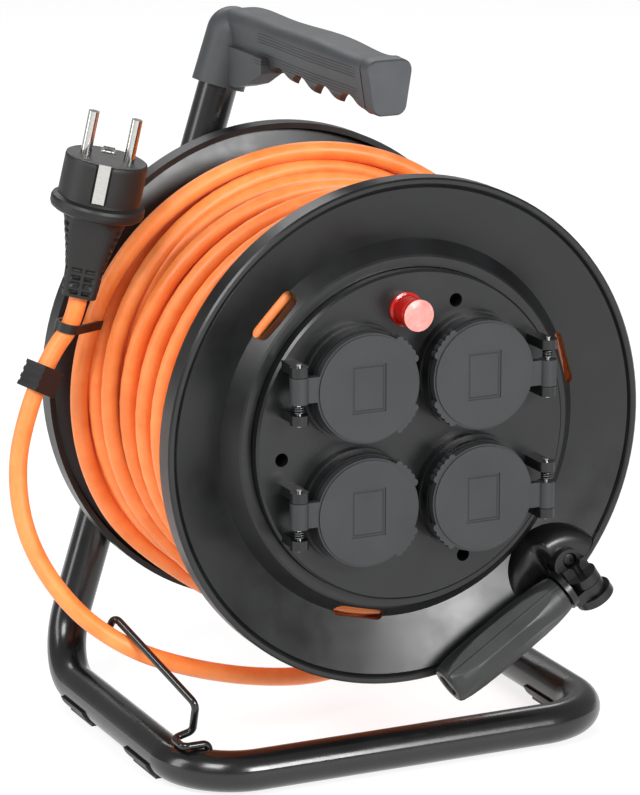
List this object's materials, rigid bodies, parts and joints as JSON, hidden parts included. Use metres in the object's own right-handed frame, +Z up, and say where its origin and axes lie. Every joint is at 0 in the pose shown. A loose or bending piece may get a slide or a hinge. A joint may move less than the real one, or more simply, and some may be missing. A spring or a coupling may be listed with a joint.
{
  "type": "extension cord reel",
  "caption": "Portable cord reel on a bent-tube stand: turning drum of orange cord, lidded sockets, reset button, folding crank, carrying grip and plug.",
  "frame": {"origin": "middle of the reel's footprint on the floor, without the free lead and plug", "axes": "+Z up, -Y the way the socket panel faces, +X to the right seen from the panel; the drum's axis is along Y"},
  "size_m": [0.2612, 0.2043, 0.316],
  "materials": {
    "black_tube": "satin",
    "black_plastic": "matte",
    "grey_plastic": "matte",
    "inner_plastic": "matte",
    "rubber": "matte",
    "orange_sheath": "satin",
    "bright_steel": "polished",
    "zinc_steel": "satin",
    "spring_steel": "satin",
    "brass": "satin",
    "red_clear": "gloss",
    "sintered_bronze": "matte"
  },
  "bodies": {
    "frame": {"frame_tube": "black_tube", "rubber_feet": "rubber", "handle_grip": "grey_plastic", "handle_cap": "grey_plastic", "hub_axle": "zinc_steel", "axle_washer": "zinc_steel", "axle_screw": "zinc_steel", "guide_wire": "black_tube", "cord_lead": "orange_sheath", "plug_body": "rubber", "plug_pins": "bright_steel", "plug_earth_strips": "bright_steel", "cable_tie": "black_plastic", "cord_clip": "black_plastic"},
    "drum": {"front_flange": "black_plastic", "rear_flange": "black_plastic", "barrel": "black_plastic", "hub_bush": "sintered_bronze", "cord_winding": "orange_sheath", "cord_anchor": "inner_plastic", "socket_panel": "black_plastic", "socket_insert_upper_left": "black_plastic", "socket_insert_upper_right": "black_plastic", "socket_insert_lower_left": "black_plastic", "socket_insert_lower_right": "black_plastic", "socket_face_upper_left": "black_plastic", "socket_face_upper_right": "black_plastic", "socket_face_lower_left": "black_plastic", "socket_face_lower_right": "black_plastic", "earth_clips": "brass", "contact_bars": "brass", "thermal_cutout": "inner_plastic", "reset_sleeve": "red_clear", "panel_screws": "zinc_steel", "lid_pins": "bright_steel", "lid_springs": "spring_steel", "crank_bracket": "grey_plastic", "crank_screw": "zinc_steel", "crank_fold_pin": "grey_plastic"},
    "lid_upper_left": {"lid_upper_left": "grey_plastic", "lid_seal_upper_left": "rubber"},
    "lid_upper_right": {"lid_upper_right": "grey_plastic", "lid_seal_upper_right": "rubber"},
    "lid_lower_left": {"lid_lower_left": "grey_plastic", "lid_seal_lower_left": "rubber"},
    "lid_lower_right": {"lid_lower_right": "grey_plastic", "lid_seal_lower_right": "rubber"},
    "reset_button": {"reset_button": "red_clear"},
    "crank_arm": {"crank_arm": "grey_plastic", "spindle_cap": "zinc_steel"},
    "crank_grip": {"crank_grip": "grey_plastic"}
  },
  "joints": [
    {"name": "drum_spin", "type": "hinge", "parent": "frame", "child": "drum", "pos_m": [0.0024, 0.0396, 0.1535], "axis": [0, 1, 0], "continuous": true},
    {"name": "lid_hinge_upper_left", "type": "hinge", "parent": "drum", "child": "lid_upper_left", "pos_m": [-0.0567, -0.0956, 0.1809], "axis": [0, 0, -1], "range_deg": [0, 110], "stiffness_Nm_per_rad": 0.012, "springref_deg": -51.57},
    {"name": "lid_hinge_upper_right", "type": "hinge", "parent": "drum", "child": "lid_upper_right", "pos_m": [0.0615, -0.0956, 0.1809], "axis": [0, 0, 1], "range_deg": [0, 110], "stiffness_Nm_per_rad": 0.012, "springref_deg": -51.57},
    {"name": "lid_hinge_lower_left", "type": "hinge", "parent": "drum", "child": "lid_lower_left", "pos_m": [-0.0567, -0.0956, 0.1261], "axis": [0, 0, -1], "range_deg": [0, 110], "stiffness_Nm_per_rad": 0.012, "springref_deg": -51.57},
    {"name": "lid_hinge_lower_right", "type": "hinge", "parent": "drum", "child": "lid_lower_right", "pos_m": [0.0615, -0.0956, 0.1261], "axis": [0, 0, 1], "range_deg": [0, 110], "stiffness_Nm_per_rad": 0.012, "springref_deg": -51.57},
    {"name": "reset_press", "type": "slide", "parent": "drum", "child": "reset_button", "axis": [0, 1, 0], "range_m": [0, 0.002], "stiffness_N_per_m": 400, "springref_m": -0.002},
    {"name": "crank_fold", "type": "hinge", "parent": "drum", "child": "crank_arm", "pos_m": [0.0834, -0.0916, 0.081], "axis": [-0.5446, 0, 0.8387], "range_deg": [0, 90]},
    {"name": "grip_spin", "type": "hinge", "parent": "crank_arm", "child": "crank_grip", "pos_m": [0.0486, -0.0916, 0.06114], "axis": [-0.8387, 0, -0.5446], "continuous": true}
  ]
}
